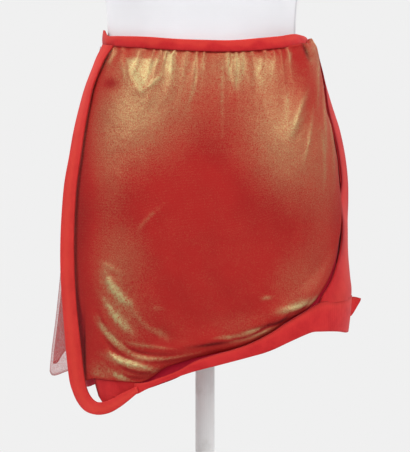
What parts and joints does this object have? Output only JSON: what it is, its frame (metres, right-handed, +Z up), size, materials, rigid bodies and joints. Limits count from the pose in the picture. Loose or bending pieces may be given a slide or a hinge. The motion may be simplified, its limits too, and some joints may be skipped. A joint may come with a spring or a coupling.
{
  "type": "mini skirt on a dress form",
  "caption": "Short asymmetric skirt of gold-coated mesh over red jersey with red bands and a looped side tape, worn by a limbless dress form on a pole stand.",
  "frame": {"origin": "centre of the base plate's flat underside, on the pole's axis, at floor height", "axes": "+Z up along the pole; the side of the skirt that the picture shows faces -Y; +X is to the right as that side is seen"},
  "size_m": [0.3913, 0.34, 1.5123],
  "materials": {
    "red_tape": "fine red jersey, folded flat and stitched along its edges",
    "red_jersey": "matt red jersey",
    "coated_mesh": "sheer mesh with a worn gold coating, over red jersey",
    "form_cover": "off-white stretch cover",
    "form_cap": "off-white satin",
    "pole_paint": "pale grey satin paint"
  },
  "bodies": {
    "root": {"waistband": "red_tape", "front_panel": "coated_mesh", "back_panel": "red_jersey", "back_overlay": "coated_mesh", "overlay_layer": "coated_mesh", "side_tape_left": "red_tape", "side_tape_right": "red_tape", "hem_band_front": "red_tape", "hem_band_back": "red_tape", "corner_insert": "red_jersey", "hem_tab": "red_tape", "form_torso": "form_cover", "neck_cap": "form_cap", "form_pole": "pole_paint", "pole_flange": "pole_paint", "base_plate": "pole_paint"}
  },
  "joints": []
}
